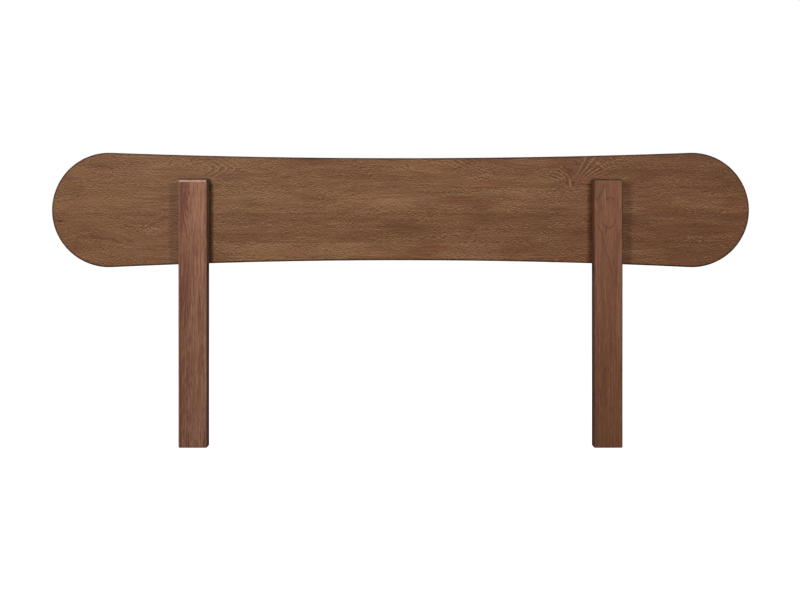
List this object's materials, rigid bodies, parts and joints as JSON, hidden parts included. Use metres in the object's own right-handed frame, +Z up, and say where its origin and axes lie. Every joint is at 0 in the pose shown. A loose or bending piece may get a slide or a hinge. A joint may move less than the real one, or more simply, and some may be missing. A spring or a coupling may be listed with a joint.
{
  "type": "bed headboard",
  "caption": "Low timber bed headboard: a long flat board with round ends and a slim waist, glued up from staves, doweled to upright posts on its wall side.",
  "frame": {"origin": "on the floor, under the middle of the whole headboard's box", "axes": "+X along the board, to the right as seen from the wall; +Y from the wall towards the bed; +Z up the posts"},
  "size_m": [1.8, 0.0682, 0.7549],
  "materials": {
    "board_timber": "oiled mid-brown hardwood with a soft satin sheen, grain running along the board",
    "post_timber": "oiled reddish-brown hardwood with a soft satin sheen, grain running up the post",
    "dowel_timber": "bare pale beech with pressed flutes"
  },
  "bodies": {
    "root": {"bottom_stave": "board_timber", "lower_stave": "board_timber", "upper_stave": "board_timber", "top_stave": "board_timber", "left_post": "post_timber", "right_post": "post_timber", "left_dowel_1": "dowel_timber", "left_dowel_2": "dowel_timber", "left_dowel_3": "dowel_timber", "left_dowel_4": "dowel_timber", "left_dowel_5": "dowel_timber", "left_dowel_6": "dowel_timber", "right_dowel_1": "dowel_timber", "right_dowel_2": "dowel_timber", "right_dowel_3": "dowel_timber", "right_dowel_4": "dowel_timber", "right_dowel_5": "dowel_timber", "right_dowel_6": "dowel_timber"}
  },
  "joints": []
}
